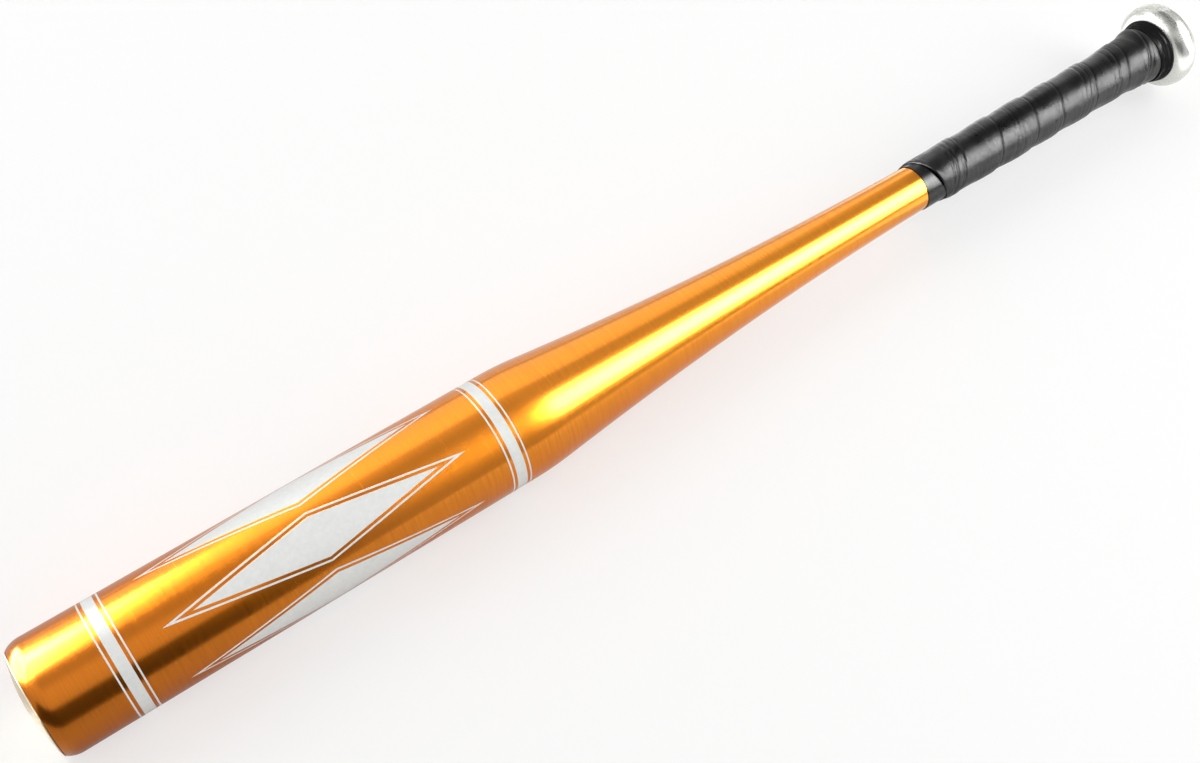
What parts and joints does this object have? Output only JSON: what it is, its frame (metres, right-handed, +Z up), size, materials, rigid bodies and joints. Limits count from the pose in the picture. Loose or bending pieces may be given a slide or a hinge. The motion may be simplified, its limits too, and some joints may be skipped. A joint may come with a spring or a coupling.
{
  "type": "softball bat",
  "caption": "One-piece metal softball bat: domed cap, straight barrel, long taper, wound black grip, round knob",
  "frame": {"origin": "on the ground under the middle of the bat's overall length, lying on its side", "axes": "+X along the bat's axis from the barrel's domed end to the knob, +Z up, +Y across"},
  "size_m": [0.7112, 0.057, 0.057],
  "materials": {
    "gold_shell": "brushed round the tube and anodised gold, semi-gloss",
    "gold_cap": "satin gold anodised",
    "knob_metal": "polished bare casting",
    "weld_metal": "dull as welded",
    "plug_rubber": "matt moulded",
    "black_tape": "smooth glossy vinyl tape",
    "grip_leather": "black padded synthetic leather, satin",
    "collar_tape": "wound vinyl tape, satin gloss"
  },
  "bodies": {
    "root": {"bat_tube": "gold_shell", "end_cap": "gold_cap", "knob": "knob_metal", "knob_weld": "weld_metal", "vent_plug": "plug_rubber", "handle_tape": "black_tape", "grip_strip": "grip_leather", "collar_tape": "collar_tape"}
  },
  "joints": []
}
